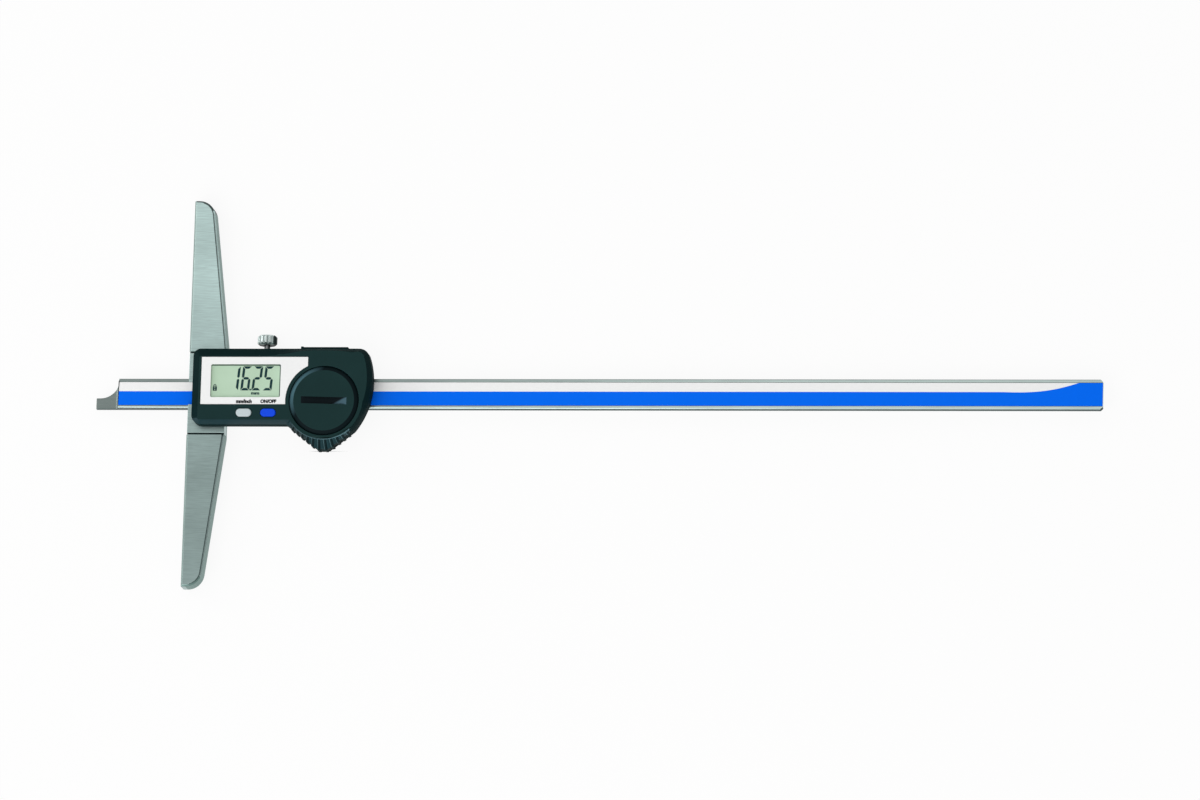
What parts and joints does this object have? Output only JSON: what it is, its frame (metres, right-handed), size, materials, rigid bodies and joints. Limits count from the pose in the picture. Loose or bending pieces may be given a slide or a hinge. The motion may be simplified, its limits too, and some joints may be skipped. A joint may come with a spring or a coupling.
{
  "type": "digital depth caliper",
  "caption": "Digital depth caliper: a flat bridge, a long sliding beam with a stepped tip, a display unit with buttons and thumb rest, and a knurled lock screw.",
  "frame": {"origin": "on the bridge's flat measuring face, on the beam's centreline, in the back plane that the caliper lies on", "axes": "+X along the beam towards its free end (away from the measuring face), +Y along the bridge towards the lock screw, +Z out of the display"},
  "size_m": [0.3854, 0.15, 0.015],
  "materials": {
    "ground_steel": "ground and satin, fine lines along the beam's direction",
    "beam_steel": "hardened and ground, satin",
    "screw_steel": "zinc plated",
    "spring_steel": "bright spring strip",
    "cell_steel": "nickel-plated can",
    "knob_chrome": "matt chrome, knurled",
    "gib_brass": "rolled strip",
    "contact_brass": "gold flashed",
    "housing_plastic": "fine satin, dark blue-green black",
    "inner_plastic": "matt black",
    "circuit_board": "glass-fibre laminate",
    "label_film": "printed film",
    "clear_window": "clear polished plastic",
    "display_panel": "liquid-crystal panel, pale grey-green",
    "grey_button": "moulded, light grey",
    "blue_button": "moulded, blue",
    "black_rubber": "moulded rubber"
  },
  "bodies": {
    "slider": {"bridge": "ground_steel", "bridge_screws": "screw_steel", "slider_frame": "ground_steel", "gib_strip": "gib_brass", "gib_screws": "screw_steel", "housing_rear": "housing_plastic", "housing_front": "housing_plastic", "housing_screws": "screw_steel", "beam_wiper": "black_rubber", "front_label": "label_film", "display_window": "clear_window", "display_glass": "display_panel", "display_holder": "inner_plastic", "display_connectors": "black_rubber", "main_board": "circuit_board", "pickup_board": "circuit_board", "pickup_pins": "contact_brass", "button_switches": "spring_steel", "processor_chip": "inner_plastic", "quartz_crystal": "spring_steel", "data_port_contacts": "contact_brass", "battery_cell": "cell_steel", "battery_contact_negative": "spring_steel", "battery_contact_positive": "spring_steel"},
    "beam": {"beam_rail": "beam_steel", "scale_strip": "circuit_board", "scale_label": "label_film", "stop_block": "beam_steel", "stop_screw": "screw_steel"},
    "lock_pad": {"lock_screw_pad": "contact_brass"},
    "lock_knob": {"lock_screw_shank": "screw_steel", "lock_screw_knob": "knob_chrome"},
    "unit_key": {"unit_button": "grey_button"},
    "power_key": {"power_button": "blue_button"},
    "battery_lid": {"battery_cover": "housing_plastic"},
    "port_lid": {"port_cover": "housing_plastic"}
  },
  "joints": [
    {"name": "beam_slide", "type": "slide", "parent": "slider", "child": "beam", "axis": [-1, 0, 0], "range_m": [-0.0358, 0.2642]},
    {"name": "lock_screw_advance", "type": "slide", "parent": "slider", "child": "lock_pad", "axis": [0, 1, 0], "range_m": [-0.000111, 0.000555]},
    {"name": "lock_screw_turn", "type": "hinge", "parent": "lock_pad", "child": "lock_knob", "pos_m": [0.02955, 0, 0.00378], "axis": [0, 1, 0], "range_deg": [-80, 400]},
    {"name": "unit_button_press", "type": "slide", "parent": "slider", "child": "unit_key", "axis": [0, 0, -1], "range_m": [0, 0.0004], "stiffness_N_per_m": 500, "springref_m": -0.0004},
    {"name": "power_button_press", "type": "slide", "parent": "slider", "child": "power_key", "axis": [0, 0, -1], "range_m": [0, 0.0004], "stiffness_N_per_m": 500, "springref_m": -0.0004},
    {"name": "battery_cover_turn", "type": "hinge", "parent": "slider", "child": "battery_lid", "pos_m": [0.0539, -0.0045, 0.0134], "axis": [0, 0, 1], "range_deg": [0, 45]},
    {"name": "port_cover_slide", "type": "slide", "parent": "slider", "child": "port_lid", "axis": [-1, 0, 0], "range_m": [0, 0.011]}
  ],
  "couplings": [
    {"joint": "lock_screw_turn", "follows": "lock_screw_advance", "rad_per_m": 12566}
  ]
}
